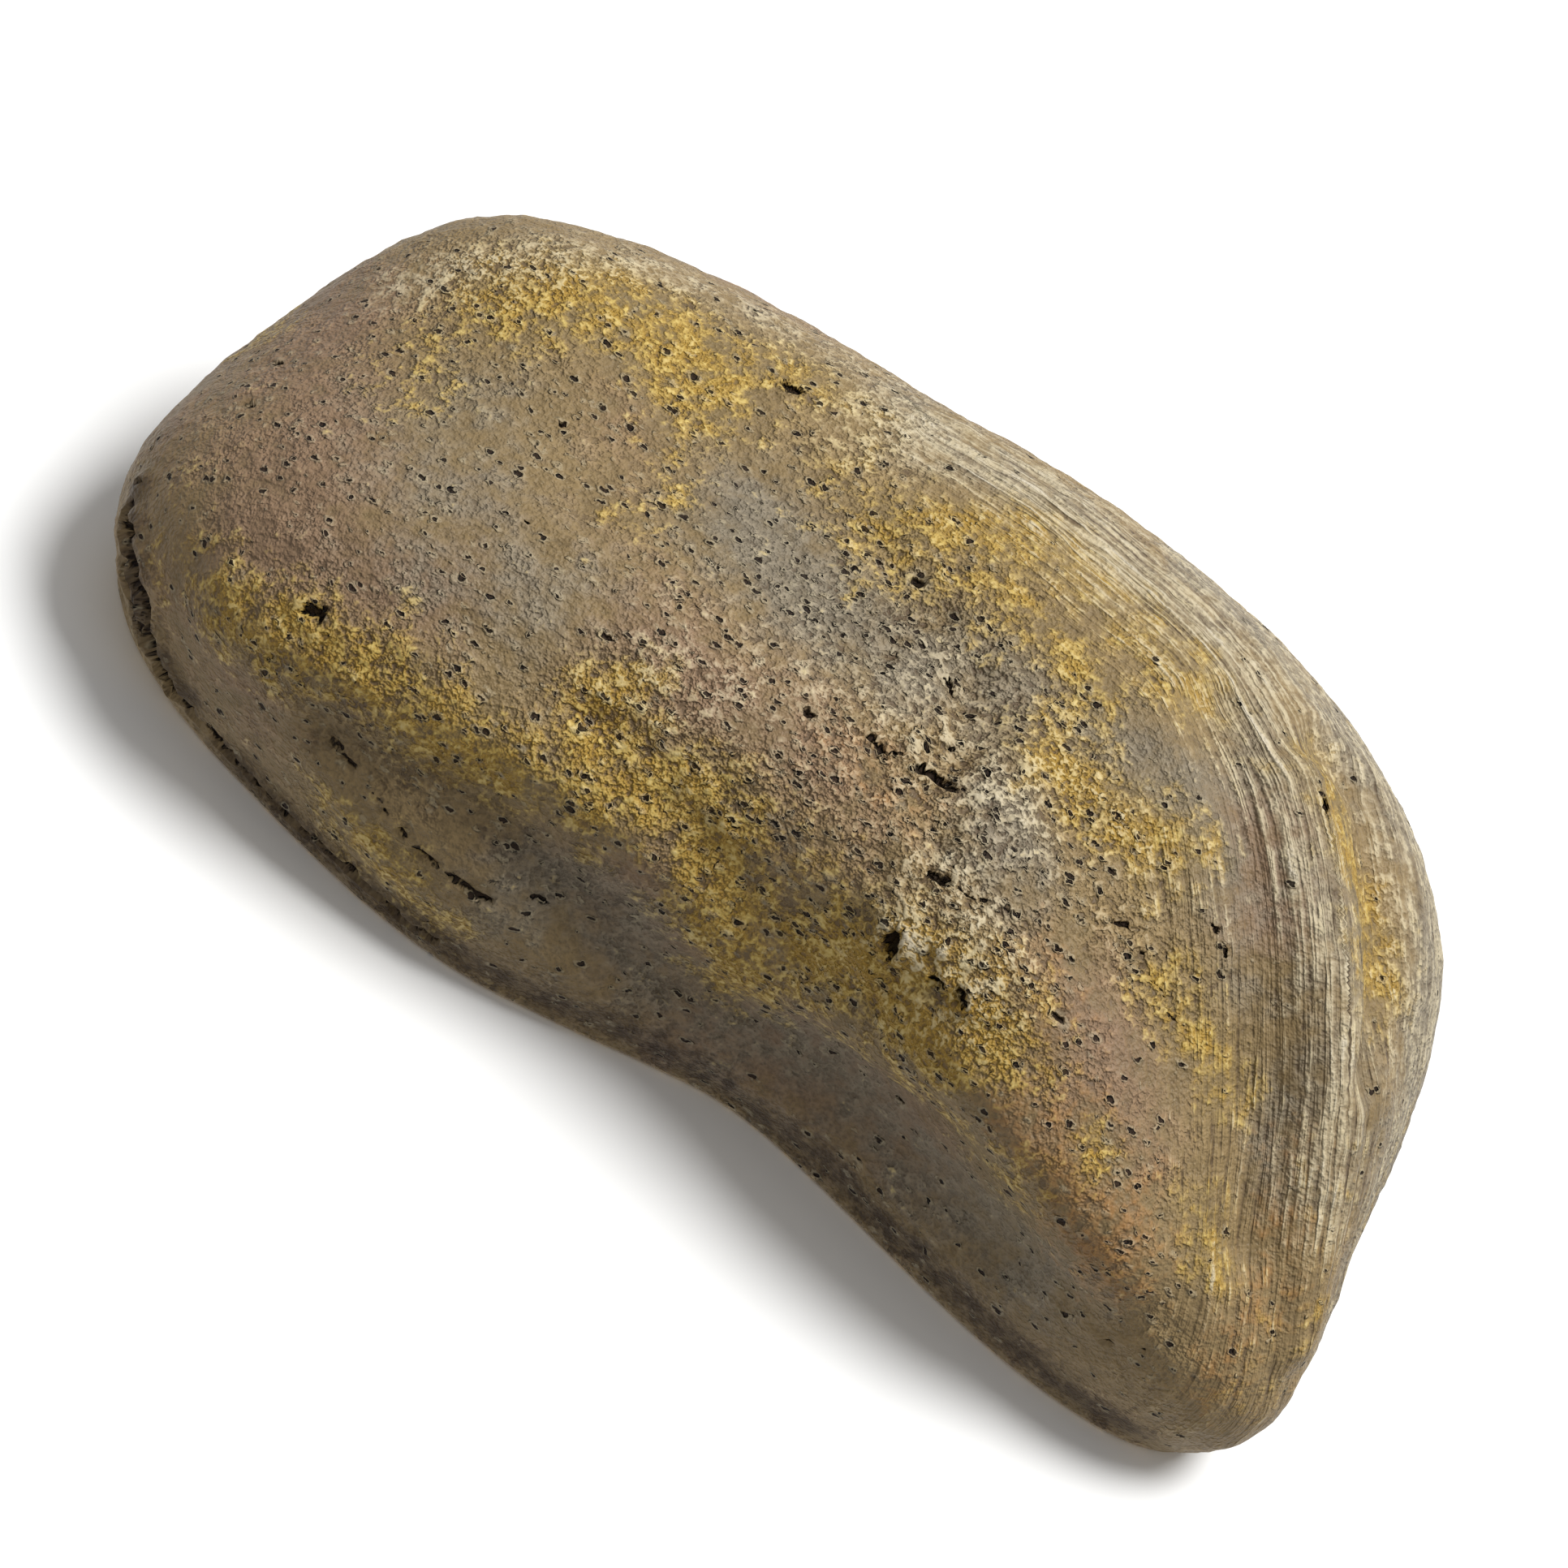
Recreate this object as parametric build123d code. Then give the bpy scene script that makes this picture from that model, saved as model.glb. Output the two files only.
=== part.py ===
from build123d import *
import os
from math import radians

import numpy as np

# Key-hiding garden rock. Millimetres, +Z up, rock standing on z = 0, long side along X, front at -Y.

# ---- driving sizes -------------------------------------------------------------------------------

rock_length = 116.0
rock_width = 68.0
rock_height = 44.0
shell_wall = 4.5            # cast skin, measured square to the surface
bond_gap = 0.15             # shrinkage line between the skin and the backfill

mouth_length = 64.6         # opening in the base that the cover closes
mouth_width = 36.6
mouth_corner = 3.5
mouth_shift = 1.0           # the cavity's middle, behind the middle of the rock
cavity_depth = 21.5         # from the base to the cavity's ceiling
cavity_fillet = 2.5         # round the ceiling's edge
ledge_width = 1.5           # step that the cover seats on

cover_thickness = 3.6
cover_recess = 0.6          # the cover's outer face lies this far inside the base
cover_clearance = 0.3       # between the cover's edge and the mouth, each side
cover_seat_gap = 0.2        # between the cover and the ledge
cover_edge = 0.5            # rounding of the cover's long edges

tab_width = 22.0            # along X
tab_reach = 13.0            # from the hinge line to the free end
tab_thickness = 0.9
tab_corner = 5.0
pin_diameter = 1.7
pin_stub = 1.2              # how far each trunnion goes into the cover
pin_clearance = 0.05        # radial
pin_depth = 1.3             # hinge line, above the cover's outer face
pocket_clearance = 0.4      # round the tab in its pocket
nail_notch = 3.0            # pocket left free past the tab's end, for a fingernail
pin_head_room = 0.3         # between the root of the tab and the pocket's floor

overcut = 4.0               # how far a cutter runs out below the base

# ---- form of the rock ----------------------------------------------------------------------------

# Points that the stone's skin passes through, x, y, z in mm, line by line as they show on the stone.
# Only their proportions count: the finished form is brought to the driving sizes.
form_centre = (0.0, -2.0, 15.0)
form_lines = {
    "sole": [
        (-53.5, -19, 0), (-46, -25.5, 0), (-35, -29, 0), (-20, -31, 0), (-7, -29, 0), (5, -25, 0),
        (14, -24, 0), (28, -26, 0), (43, -27, 0), (52.5, -24.5, 0), (55, -14, 0), (53.5, -2, 0),
        (48.5, 14, 0), (37, 25, 0), (19, 29.5, 0), (0, 30, 0), (-19, 29, 0), (-37, 25.5, 0), (-49, 14, 0),
        (-54, -2, 0),
    ],
    "front_belly": [
        (-57.5, -19, 6), (-50.5, -27, 6), (-37, -31.2, 6), (-21, -33.2, 6), (-8, -31.2, 6), (5, -27.2, 6),
        (14, -26.2, 6), (28, -28.2, 6), (44, -29.8, 6), (54.5, -28, 6),
    ],
    "left_end": [(-58, -13, 14), (-58, -5, 12), (-55, 5, 10)],
    "right_end": [(56.5, -27, 8), (57, -15, 11), (55.8, -3, 12)],
    "front_ridge": [
        (-42, -32, 17), (-32, -31.5, 22.5), (-21, -28.7, 26), (-11, -27.3, 28), (2, -27.3, 28.7),
        (14, -28.5, 28.2), (25, -30.3, 25.5), (36, -31.7, 20.5), (47, -31, 14),
    ],
    "front_dent": [(-20, -33, 14), (-5, -29.5, 14), (8, -26.2, 14), (20, -26.8, 14), (34, -30, 13)],
    "left_shoulder": [(-54, -20, 19), (-51, -5, 25.5), (-46, -22, 24.5)],
    "plateau": [
        (-36, -14, 30.5), (-18, -14, 34.2), (0, -15, 36), (14, -18, 35.8), (-8, -2, 39), (10, -2, 41.5),
        (-28, -1, 35.5),
    ],
    "rear_crest": [
        (-50.5, 2, 28.5), (-45, 7, 32.7), (-37, 9, 34.8), (-20, 9, 38), (0, 9.5, 41.5), (12, 9.5, 42.3),
    ],
    "right_ridge": [
        (19, 5, 43), (26, 0, 42.8), (32, -5, 41.2), (38, -8.5, 38.3), (43, -11.5, 34.8), (47.5, -15, 30),
        (51, -18.5, 23.5),
    ],
    "right_valley": [(24, -12, 38), (30, -16, 34.8), (35, -19, 31), (39.5, -21.5, 27.3), (43.5, -24, 23)],
    "right_hollow": [(37, -1, 38.5), (43.5, -5, 33.8)],
    "right_hump": [(29, 9, 40.8), (37, 6, 38.8), (43.5, 3, 35.8), (48, 1, 32)],
    "right_drop": [(51, -4, 26.5), (53.5, -10, 20.5)],
    "rear_girth": [
        (-51, 15, 13), (-40, 25.5, 14), (-20, 30.5, 16), (0, 33, 17), (20, 32, 16), (38, 26, 15), (50, 14, 14),
    ],
    "rear_shoulder": [(-41, 17, 27), (-15, 21, 31.5), (10, 22.5, 33), (32, 19, 31.5), (45, 11.5, 27)],
}
form_skirt = 12.0           # the form goes on this far below the sole, to be cut off there
form_skirt_share = 0.94     # and narrows to this share of the sole
form_reach = radians(138)   # how far down from the top the form is drawn
form_grid = 37              # lines each way on the drawn form
form_ease = 0.001           # 0 passes through every point, more is smoother
form_probe = 0.005          # step that finds the surface's slope


def unit(vectors):
    """The same vectors at length 1."""
    return vectors / np.linalg.norm(vectors, axis=-1, keepdims=True)


def apart(directions, centres):
    """Distances between all directions and all centres, to the third power."""
    return np.linalg.norm(directions[:, None] - centres[None], axis=2) ** 3


def make_form():
    """A function that gives the points of the stone's skin in any directions from form_centre."""
    points = [point for line in form_lines.values() for point in line]
    points += [(x * form_skirt_share, y * form_skirt_share, -form_skirt) for x, y, z in form_lines["sole"]]
    offsets = np.array(points) - form_centre
    radii = np.linalg.norm(offsets, axis=1)
    centres = unit(offsets)
    count = len(centres)
    pull = apart(centres, centres) + form_ease * np.eye(count)
    drift = np.hstack([np.ones((count, 1)), centres])
    system = np.block([[pull, drift], [drift.T, np.zeros((4, 4))]])
    weights = np.linalg.solve(system, np.concatenate([radii, np.zeros(4)]))

    def skin(directions):
        radius = apart(directions, centres) @ weights[:count] + weights[count] + directions @ weights[count + 1:]
        return directions * radius[:, None] + form_centre

    return skin


def grid_directions():
    """Directions on a square grid, its middle straight up and its four sides below the sole."""
    steps = np.linspace(-1, 1, form_grid)
    across, along = np.meshgrid(steps, steps, indexing="ij")
    disc_x = across * np.sqrt(1 - along ** 2 / 2)
    disc_y = along * np.sqrt(1 - across ** 2 / 2)
    fall = np.hypot(disc_x, disc_y).ravel() * form_reach
    turn = np.arctan2(disc_y, disc_x).ravel()
    return np.stack([np.sin(fall) * np.cos(turn), np.sin(fall) * np.sin(turn), np.cos(fall)], axis=-1)


def make_fit(skin):
    """A function that brings the form to the driving sizes, with the middle of its base at the origin."""
    points = skin(grid_directions())
    above = points[points[:, 2] >= 0]
    low = above.min(axis=0) * (1, 1, 0)
    high = above.max(axis=0)
    stretch = np.array([rock_length, rock_width, rock_height]) / (high - low)
    middle = (low + high) / 2 * (1, 1, 0)
    return lambda points: (points - middle) * stretch


def skin_points(inset):
    """Square grid of points on the finished stone, moved in by inset, square to its surface."""
    skin = make_form()
    fit = make_fit(skin)
    directions = grid_directions()
    steep = np.abs(directions[:, 2:]) > 0.7
    helper = np.where(steep, (1.0, 0.0, 0.0), (0.0, 0.0, 1.0))
    side = unit(np.cross(directions, helper))
    rise = np.cross(side, directions)
    here = fit(skin(directions))
    beside = fit(skin(unit(directions + side * form_probe)))
    above = fit(skin(unit(directions + rise * form_probe)))
    outwards = unit(np.cross(above - here, beside - here))
    return (here - outwards * inset).reshape(form_grid, form_grid, 3)


def stone(inset, floor):
    """Solid stone with its skin moved in by inset, cut flat at the height of floor."""
    even = np.linspace(0, 1, form_grid).tolist()
    rows = [Wire([Edge.make_spline(row, parameters=even)]) for row in skin_points(inset).tolist()]
    surface = Shell.make_loft(rows).face()
    block_height = 2 * rock_height
    block = Pos(0, 0, floor + block_height / 2) * Box(2 * rock_length, 2 * rock_width, block_height)
    pieces = block.split(surface, keep=Keep.ALL)
    return min((piece.solid() for piece in pieces), key=lambda piece: piece.volume)


# ---- pieces --------------------------------------------------------------------------------------


def rounded_block(length, width, corner, bottom, top):
    """Upright block with rounded corners, centred on the cavity's middle."""
    outline = Pos(0, mouth_shift, bottom) * RectangleRounded(length, width, corner)
    return extrude(outline, amount=top - bottom)


def make_rock_shell():
    """Cast skin with the painted stone surface, open at the base."""
    return stone(0, 0) - stone(shell_wall, -overcut)


def make_base_infill():
    """Backfill inside the skin, flush with its rim, with the key cavity and the cover's seat."""
    fill = stone(shell_wall + bond_gap, 0)
    mouth = rounded_block(mouth_length, mouth_width, mouth_corner, -overcut, seat_height)
    cavity = rounded_block(cavity_length, cavity_width, mouth_corner - ledge_width, 0, cavity_depth)
    cavity = fillet(cavity.edges().group_by(Axis.Z)[-1], cavity_fillet)
    return fill - mouth - cavity


def make_cover_plate():
    """Plain plate that fills the mouth, with the tab's pocket in its outer face."""
    length = mouth_length - 2 * cover_clearance
    width = mouth_width - 2 * cover_clearance
    plate = rounded_block(length, width, mouth_corner - cover_clearance, cover_recess, cover_top)
    rims = plate.edges().group_by(Axis.Z)[-1] + plate.edges().group_by(Axis.Z)[0]
    plate = fillet(rims, cover_edge)
    pocket_near = pin_diameter / 2 + pocket_clearance
    pocket_far = tab_reach + nail_notch
    pocket = Box(
        tab_width + 2 * pocket_clearance,
        pocket_near + pocket_far,
        pocket_depth,
        align=(Align.CENTER, Align.MIN, Align.MIN),
    )
    pocket = fillet(pocket.edges().filter_by(Axis.Z).group_by(Axis.Y)[-1], tab_corner)
    pocket = Pos(0, hinge_y - pocket_near, cover_recess) * pocket
    pin_hole = Cylinder(
        pin_diameter / 2 + pin_clearance,
        tab_width + 2 * (pin_stub + pocket_clearance),
        rotation=(0, 90, 0),
    )
    return plate - pocket - Pos(0, hinge_y, hinge_z) * pin_hole


def make_pull_tab():
    """Thin tab, folded flat in its pocket, with a trunnion at each end of its root."""
    blade = Box(tab_width, tab_reach, tab_thickness, align=(Align.CENTER, Align.MIN, Align.CENTER))
    blade = fillet(blade.edges().filter_by(Axis.Z).group_by(Axis.Y)[-1], tab_corner)
    root = Cylinder(pin_diameter / 2, tab_width + 2 * pin_stub, rotation=(0, 90, 0))
    return Pos(0, hinge_y, hinge_z) * (blade + root)


cavity_length = mouth_length - 2 * ledge_width
cavity_width = mouth_width - 2 * ledge_width
cover_top = cover_recess + cover_thickness
seat_height = cover_top + cover_seat_gap
hinge_y = mouth_shift
hinge_z = cover_recess + pin_depth
pocket_depth = pin_depth + pin_diameter / 2 + pin_head_room
nodes = {
    "rock_shell": make_rock_shell(),
    "base_infill": make_base_infill(),
    "cover_plate": make_cover_plate(),
    "pull_tab": make_pull_tab(),
}
os.makedirs("parts", exist_ok=True)
for name, shape in nodes.items():
    export_step(shape, f"parts/{name}.step")
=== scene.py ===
from math import atan2, cos, pi, radians, sin, tan

import bpy
import numpy as np
from mathutils import Matrix, Vector, noise
from mathutils.bvhtree import BVHTree


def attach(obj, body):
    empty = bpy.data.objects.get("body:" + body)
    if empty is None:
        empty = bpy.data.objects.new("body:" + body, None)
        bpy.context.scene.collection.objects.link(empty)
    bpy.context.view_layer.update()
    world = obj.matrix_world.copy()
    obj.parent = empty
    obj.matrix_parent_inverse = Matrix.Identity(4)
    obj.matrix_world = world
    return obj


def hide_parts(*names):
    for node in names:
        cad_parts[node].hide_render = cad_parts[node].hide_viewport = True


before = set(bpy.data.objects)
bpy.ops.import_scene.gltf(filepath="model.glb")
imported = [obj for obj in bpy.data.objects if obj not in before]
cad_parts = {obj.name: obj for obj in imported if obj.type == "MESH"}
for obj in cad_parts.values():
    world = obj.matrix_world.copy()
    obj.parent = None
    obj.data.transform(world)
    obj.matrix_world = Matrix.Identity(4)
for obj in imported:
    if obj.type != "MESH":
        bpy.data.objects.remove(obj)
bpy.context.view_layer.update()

mm = 0.001


def colour(code):
    # sRGB hex to the linear values that the shaders take
    values = [int(code[i:i + 2], 16) / 255 for i in (0, 2, 4)]
    return [v / 12.92 if v <= 0.04045 else ((v + 0.055) / 1.055) ** 2.4 for v in values] + [1.0]


def addNode(tree, kind, inputs=(), **settings):
    # inputs: a list by place or a dictionary by name; a node or socket is linked, a value is set
    node = tree.nodes.new(kind)
    for name, value in settings.items():
        setattr(node, name, value)
    pairs = inputs.items() if isinstance(inputs, dict) else enumerate(inputs)
    for place, source in pairs:
        if isinstance(source, bpy.types.Node):
            source = source.outputs[0]
        if isinstance(source, bpy.types.NodeSocket):
            tree.links.new(source, node.inputs[place])
        else:
            node.inputs[place].default_value = source
    return node


def weightedSum(tree, parts, offset=0.0):
    # sum of (source, weight) pairs and an offset
    total = offset
    for source, weight in parts:
        total = addNode(tree, "ShaderNodeMath", [source, weight, total], operation="MULTIPLY_ADD")
    return total


def newMaterial(name):
    material = bpy.data.materials.new(name)
    material.use_nodes = True
    tree = material.node_tree
    tree.nodes.clear()
    return material, tree


# Camera, at the photograph's angle.
view = {
    "elevation": 40.0,          # degrees above the horizon
    "roll": 38.0,               # degrees, because the rock stands tilted in the picture
    "distance": 450.0,          # mm
    "target": (-2.1, -5.25, 14.0),
    "focalPixels": 7050.0,
    "pictureWidth": 1932.0,
    "sensorWidth": 36.0,        # mm
}


def makeCamera():
    data = bpy.data.cameras.new("camera")
    data.sensor_width = view["sensorWidth"]
    data.lens = view["focalPixels"] / view["pictureWidth"] * data.sensor_width
    data.clip_start = 0.01
    data.clip_end = 20.0
    camera = bpy.data.objects.new("camera", data)
    bpy.context.scene.collection.objects.link(camera)
    rise, roll = radians(view["elevation"]), radians(view["roll"])
    back = Vector((0.0, -cos(rise), sin(rise)))
    levelRight = Vector((1.0, 0.0, 0.0))
    levelUp = back.cross(levelRight)
    right = cos(roll) * levelRight + sin(roll) * levelUp
    up = cos(roll) * levelUp - sin(roll) * levelRight
    turn = Matrix((right, up, back)).transposed().to_4x4()
    place = Vector(view["target"]) * mm + back * view["distance"] * mm
    camera.matrix_world = Matrix.Translation(place) @ turn
    bpy.context.scene.camera = camera


makeCamera()
print("camera done")


# Places are in mm on the stone: +X right, +Y to the back, +Z up.
# A stroke is (path, reach, strength), and fades out a third beyond its reach.
paintStrokes = {
    "ochre": [
        ([(-42, -2, 33), (-37, 2, 35.6), (-31, 2, 36.5), (-26, 0, 36.6)], 6.5, 1.0),
        ([(-45, -9, 29), (-42, -13, 29)], 5, 0.55),
        ([(-26, 4.5, 37.6), (-20, 6, 38.7), (-14, 6, 40)], 4.5, 0.7),
        ([(-7.5, -3, 39.3), (-3, 0, 41), (4, 3, 43), (12, 1, 43.3), (18, -0.5, 43.5)], 5.5, 0.85),
        ([(-1, -3.5, 40.4), (7, -4, 41.3), (13, -7, 40.8)], 4, 0.75),
        ([(12, -12.5, 38.3), (17.5, -13, 38), (24, -12.5, 38.4)], 5, 1.0),
        ([(-9, -5, 38.4), (-6, -2.5, 40)], 3, 0.7),
        # The strong ochre on the front ridge here and below is partly ochre paint, partly painted highlight
        # on the ledge.
        ([(-15.5, -28, 27.8), (-12, -30, 23.3), (-6, -28, 27), (-1, -28.5, 22), (4, -27.3, 16)], 6, 1.05),
        ([(7, -28, 22), (12, -29, 26.5), (17.5, -29, 28), (21.5, -29, 28)], 6, 1.1),
        ([(9, -28.5, 24.5), (15, -28.5, 24), (20, -29.8, 24)], 3.5, 1.5),
        ([(-16, -28, 28.5), (-6, -27, 29), (4, -27, 29.5)], 3.5, 0.45),
        ([(10, -27.5, 19), (20, -29, 19), (30, -30, 19)], 5, 0.6),
        ([(-42, -32, 16.5), (-37, -33, 18.4), (-31, -32.5, 21.3), (-25, -32.6, 20.3),
          (-19, -32, 20.7)], 5.5, 1.0),
        ([(-50, -27, 14), (-45, -30, 15)], 4, 0.6),
        ([(-12.5, -2, 38.4), (-4, -7, 38.4), (8, -5, 41)], 5, 0.5),
        ([(-27, -33, 8), (-22, -33, 7), (-17, -32.5, 4.5)], 4.5, 0.75),
        ([(29, 1, 43), (33.6, -2, 41.5), (38.7, -2.6, 38.8), (43.7, -5, 35.4)], 5, 0.85),
        ([(30, -19, 33.2), (34, -20, 31), (38, -20, 30)], 4, 0.75),
        # Partly painted highlight on the front ridge.
        ([(12, -28.8, 27.5), (16, -29, 28.5), (21, -29.4, 28)], 2.5, 1.6),
        ([(43, -26, 23.3), (45.3, -27.3, 21)], 4, 0.7),
        ([(38, -6, 39.4), (44, -12, 33), (49, -17, 26), (53, -22, 18), (53, -27, 11)], 4, 0.5),
        ([(32, -29.5, 26), (33.5, -30, 25)], 2.5, 0.9),
        ([(-26, -5, 35.3), (-21.5, -10.5, 34.6)], 3.5, 0.6),
        ([(-25.3, -15, 33.2), (-23.3, -14.6, 33.7)], 2.5, 0.65),
        ([(-46, 14, 22), (-38, 22, 24), (-28, 25, 24)], 7, 0.9),
        ([(-12, 29, 24), (2, 31, 20), (12, 31, 17)], 6, 0.75),
        ([(20, 18, 36), (28, 15, 36)], 5, 0.8),
        ([(34, 24, 20), (44, 17, 20), (50, 8, 18)], 6, 0.9),
        ([(-20, 31, 9), (-8, 32, 7)], 5, 0.6),
        ([(-56, 4, 14), (-55, -6, 18)], 5, 0.6),
        ([(53, -2, 24), (55, -12, 15)], 5, 0.6),
    ],
    "grey": [
        ([(-39, -14, 30), (-33, -24, 29), (-25, -25, 30)], 11, 0.7),
        ([(-12, -31, 13), (4, -27.6, 11), (20, -27, 10), (35, -30, 11)], 9, 0.8),
        ([(-17, -9, 35.5), (-9, -12, 36.6), (-1, -11.5, 37.5)], 8, 1.0),
        ([(1, -9, 38.5), (8, -9, 39.5), (10, -15, 37.5), (15, -22, 35)], 6, 0.9),
        ([(13.7, -9, 40), (23.5, -9, 40.7), (27.5, -12, 38.8)], 6, 0.9),
        ([(-12, 9, 40), (10, 6, 43.5), (25, 0, 43), (36, -7, 40), (44, -12, 34), (49, -17, 26)], 8, 0.8),
        ([(23, -29.7, 27), (26.5, -30.6, 20)], 6, 0.5),
        # Grey in the right valley, partly painted shade.
        ([(42, -16.5, 32), (47, -20, 25.6)], 6, 0.7),
        ([(-44, 5, 33), (-32, 10, 36), (-14, 10, 39)], 6, 0.5),
        ([(-34, 28, 12), (-16, 32, 17), (-4, 27, 28)], 9, 0.7),
        ([(14, 26, 28), (24, 29, 18)], 9, 0.7),
        ([(30, 14, 40), (42, 8, 35), (49, 1, 31), (54, -4, 20)], 9, 1.3),
        ([(14, 12, 42), (30, 9, 40.5), (40, 6, 37)], 7, 1.0),
        ([(50, -8, 26), (55, -14, 16), (56.5, -18, 9)], 6, 0.9),
        ([(21, -6, 42), (28, -10, 40), (35, -15, 35)], 6, 0.6),
    ],
    "mauve": [
        ([(-55, -5, 20), (-48, -21, 23.5), (-37, -29, 24.7)], 11, 0.9),
        ([(-12, -24.6, 31.5), (-1, -24, 33)], 9, 0.8),
        ([(29.5, -26, 29.5), (31, -29, 26.8)], 8, 0.7),
        ([(27.6, -7.5, 41.6), (33, -11.7, 38.7)], 5, 1.0),
        ([(-6, -29.5, 18.6), (7, -26.7, 11.8), (20, -26, 12)], 9, 0.8),
        ([(-38, -32, 10), (-50, -26, 14)], 7, 0.6),
        ([(-30, 20, 32), (-10, 22, 33)], 9, 0.7),
        ([(4, 30, 24), (16, 24, 32)], 8, 0.8),
    ],
    "rust": [
        ([(21, -28, 30), (26, -30, 26), (39, -31, 20)], 8, 0.8),
        ([(47, -19, 27), (51, -25, 19), (52, -29, 14)], 6, 0.65),
        ([(-20, -31, 23), (-23.4, -32, 21)], 4, 0.7),
        ([(-1, -22, 34), (6, -22, 34.5)], 5, 0.6),
        ([(-40, 26, 14), (-50, 14, 12)], 7, 0.8),
        ([(30, 28, 12), (40, 23, 12)], 7, 0.7),
    ],
    "pale": [
        ([(11.8, -26, 32.5), (16.6, -27.5, 30.8), (18.2, -28.5, 29.5)], 5.5, 0.7),
        ([(8.7, -18, 36.6), (13.6, -17, 36.8)], 4.5, 0.65),
        ([(12, -12.5, 38.3), (24, -12.5, 38.4)], 6, 0.4),
        ([(-15, -23, 32), (-8, -22, 33.5), (2, -20, 35)], 7, 0.45),
        ([(18, 3, 44), (31.7, -6, 41.6), (38, -11, 38), (44.7, -14.5, 32.6), (50.7, -19, 23.6)], 3.5, 0.9),
        ([(-12, 8, 40), (-1, 9.6, 42), (11.6, 6, 43.7), (22, 4, 43)], 8, 0.95),
        ([(14, 14, 42), (28, 10, 41), (38, 6, 38)], 7, 0.8),
        ([(-50, -3, 28), (-44.4, 1, 32.8), (-38, 7, 35.7), (-32, 9.7, 36.4)], 4, 0.8),
        ([(41, 2.6, 38), (45, -1.4, 35), (48, -6.4, 31)], 4, 0.7),
        ([(-26, 12, 37), (-10, 12, 39.5)], 6, 0.6),
        ([(40, 9, 37), (48, 3, 32), (53, -5, 25)], 6, 0.9),
        ([(2, -15, 37), (14, -25, 33)], 6, 0.35),
        ([(11, -28.6, 28.5), (16, -28.8, 29)], 2.5, 0.8),
        ([(52, -9, 25), (55.5, -15, 14)], 4, 0.6),
    ],
    # Darker towards the base, round the foot and under the front ledge: painted shade, with some dark paint.
    "dark": [
        ([(-12, -31, 17), (4, -27.6, 8), (15.7, -26, 5.5), (32, -28.7, 5.8)], 8, 0.55),
        ([(-31, -34, 14), (-18.7, -32.8, 16), (-12.3, -31.8, 14.8), (-6, -30, 14)], 5, 0.68),
        ([(-36.6, -29.4, 1.7), (-17.4, -32, 2.3), (-1, -28, 3.3), (12.5, -24.8, 2.2), (32.4, -27.8, 2.9),
          (49, -28.3, 3)], 4, 1.0),
        ([(-55, -23, 12), (-51.6, -27, 9.6), (-47.3, -28, 5.3), (-42.3, -29, 3.8)], 3.5, 1.0),
        ([(54, -14, 2), (50, 12, 2), (38, 25, 2), (0, 31, 2), (-38, 26, 2), (-52, 10, 2),
          (-56, -12, 3)], 4.5, 0.8),
    ],
    "pitting": [
        ([(-9, -12.7, 36.4), (4, -20.6, 35.5), (15, -27.5, 30.8), (-1, -28, 27)], 15, 1.0),
        ([(-30, -33, 15), (-12, -31, 22)], 8, 0.6),
        ([(-48, -18, 25), (-34, -22, 29)], 12, 0.45),
        ([(-40, -8, 31), (-20, -12, 34), (-9, -10, 36.8)], 12, 0.65),
        ([(36, -29, 22), (44, -27, 18)], 10, 0.5),
        ([(-20, 26, 28), (10, 30, 22)], 16, 0.6),
    ],
    "crumple": [
        ([(-1, -9, 38), (5, -14, 37.5), (5.5, -20, 36), (12, -18, 36.6)], 8, 1.0),
        ([(10.6, -25.6, 33), (17, -28.5, 29.5), (12, -29, 26.5)], 6, 1.0),
        ([(-15.4, -28, 28), (-6, -28, 27)], 6, 0.8),
        ([(23, -18.7, 34.7), (30, -17, 34)], 5, 0.6),
        ([(-40, -32, 17), (-30, -33, 21)], 5, 0.6),
        ([(-15, 27, 26), (5, 30, 20)], 9, 0.7),
    ],
    "striae": [
        ([(-4, 8, 42), (10, 5, 43.5), (25, 0, 43), (36, -7, 40), (44, -12, 34), (51, -18, 23)], 9, 1.0),
        ([(46, -12, 31), (54, -20, 18)], 8, 0.9),
        ([(42, -22, 27), (49, -25, 19), (53, -26, 11)], 8, 0.9),
        ([(27, -13, 38), (39.6, -18, 31.4), (47, -22, 24), (51, -27.6, 17)], 6, 0.8),
        ([(30, 8, 41), (42, 2, 37), (49, -3, 30)], 6, 0.7),
        ([(30, 14, 40), (42, 8, 35), (49, 1, 31), (54, -4, 20)], 7, 0.55),
    ],
}

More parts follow.
